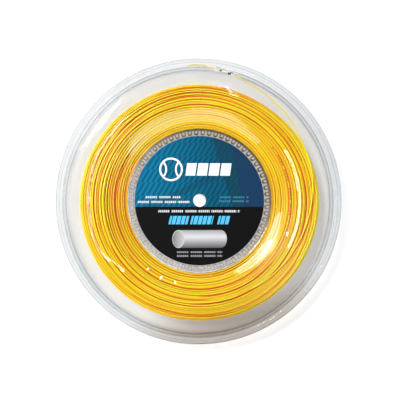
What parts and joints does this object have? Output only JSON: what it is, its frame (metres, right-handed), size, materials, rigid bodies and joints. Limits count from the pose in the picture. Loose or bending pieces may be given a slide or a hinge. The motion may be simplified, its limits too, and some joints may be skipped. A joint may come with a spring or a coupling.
{
  "type": "string reel",
  "caption": "Clear plastic two-part reel wound with yellow tennis string, with a dished face, a round printed label and a centre bore for a spindle.",
  "frame": {"origin": "centre of the plane that the rear rim lies on, on the reel's axis", "axes": "+Z along the bore axis towards the front label, +Y towards the top of the label"},
  "size_m": [0.274, 0.274, 0.03],
  "materials": {
    "clear_plastic": "clear, glossy",
    "label": "printed, semi-gloss",
    "string": "glossy monofilament",
    "tape": "clear film, crumpled"
  },
  "bodies": {
    "root": {"front_half": "clear_plastic", "rear_half": "clear_plastic", "core_ring": "clear_plastic", "front_label": "label", "rear_label": "label", "string_winding": "string", "string_tail": "string", "end_tape": "tape"}
  },
  "joints": []
}
